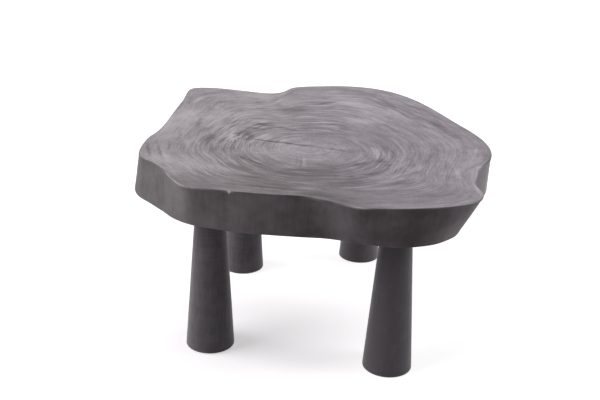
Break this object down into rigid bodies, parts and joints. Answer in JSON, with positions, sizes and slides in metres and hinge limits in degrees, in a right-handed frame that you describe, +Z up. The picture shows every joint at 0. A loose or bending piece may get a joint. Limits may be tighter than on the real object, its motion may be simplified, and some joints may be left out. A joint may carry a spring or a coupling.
{
  "type": "live edge coffee table",
  "caption": "Low table with a thick live edge wood slab on turned legs that flare to the foot, bolted to plates let into the slab.",
  "frame": {"origin": "on the floor, under the middle of the table top's outer box", "axes": "+Z up; +Y from the front edge with the long shallow hollow to the back edge with the step, the slab's longer way; +X to the right seen from the front"},
  "size_m": [0.826, 0.918, 0.45],
  "materials": {
    "slab_wood": "cross-cut hardwood, stained grey-black, brushed and matt lacquered",
    "leg_wood": "turned hardwood, stained black, satin lacquered",
    "zinc_steel": "zinc-plated steel",
    "black_nylon": "moulded black nylon"
  },
  "bodies": {
    "root": {"slab_top": "slab_wood", "leg_front_left": "leg_wood", "leg_front_right": "leg_wood", "leg_back_left": "leg_wood", "leg_back_right": "leg_wood", "hanger_bolt_front_left": "zinc_steel", "hanger_bolt_front_right": "zinc_steel", "hanger_bolt_back_left": "zinc_steel", "hanger_bolt_back_right": "zinc_steel", "mounting_plate_front_left": "zinc_steel", "mounting_plate_front_right": "zinc_steel", "mounting_plate_back_left": "zinc_steel", "mounting_plate_back_right": "zinc_steel", "plate_screws_front_left": "zinc_steel", "plate_screws_front_right": "zinc_steel", "plate_screws_back_left": "zinc_steel", "plate_screws_back_right": "zinc_steel", "foot_glide_front_left": "black_nylon", "foot_glide_front_right": "black_nylon", "foot_glide_back_left": "black_nylon", "foot_glide_back_right": "black_nylon", "glide_screws": "zinc_steel"}
  },
  "joints": []
}
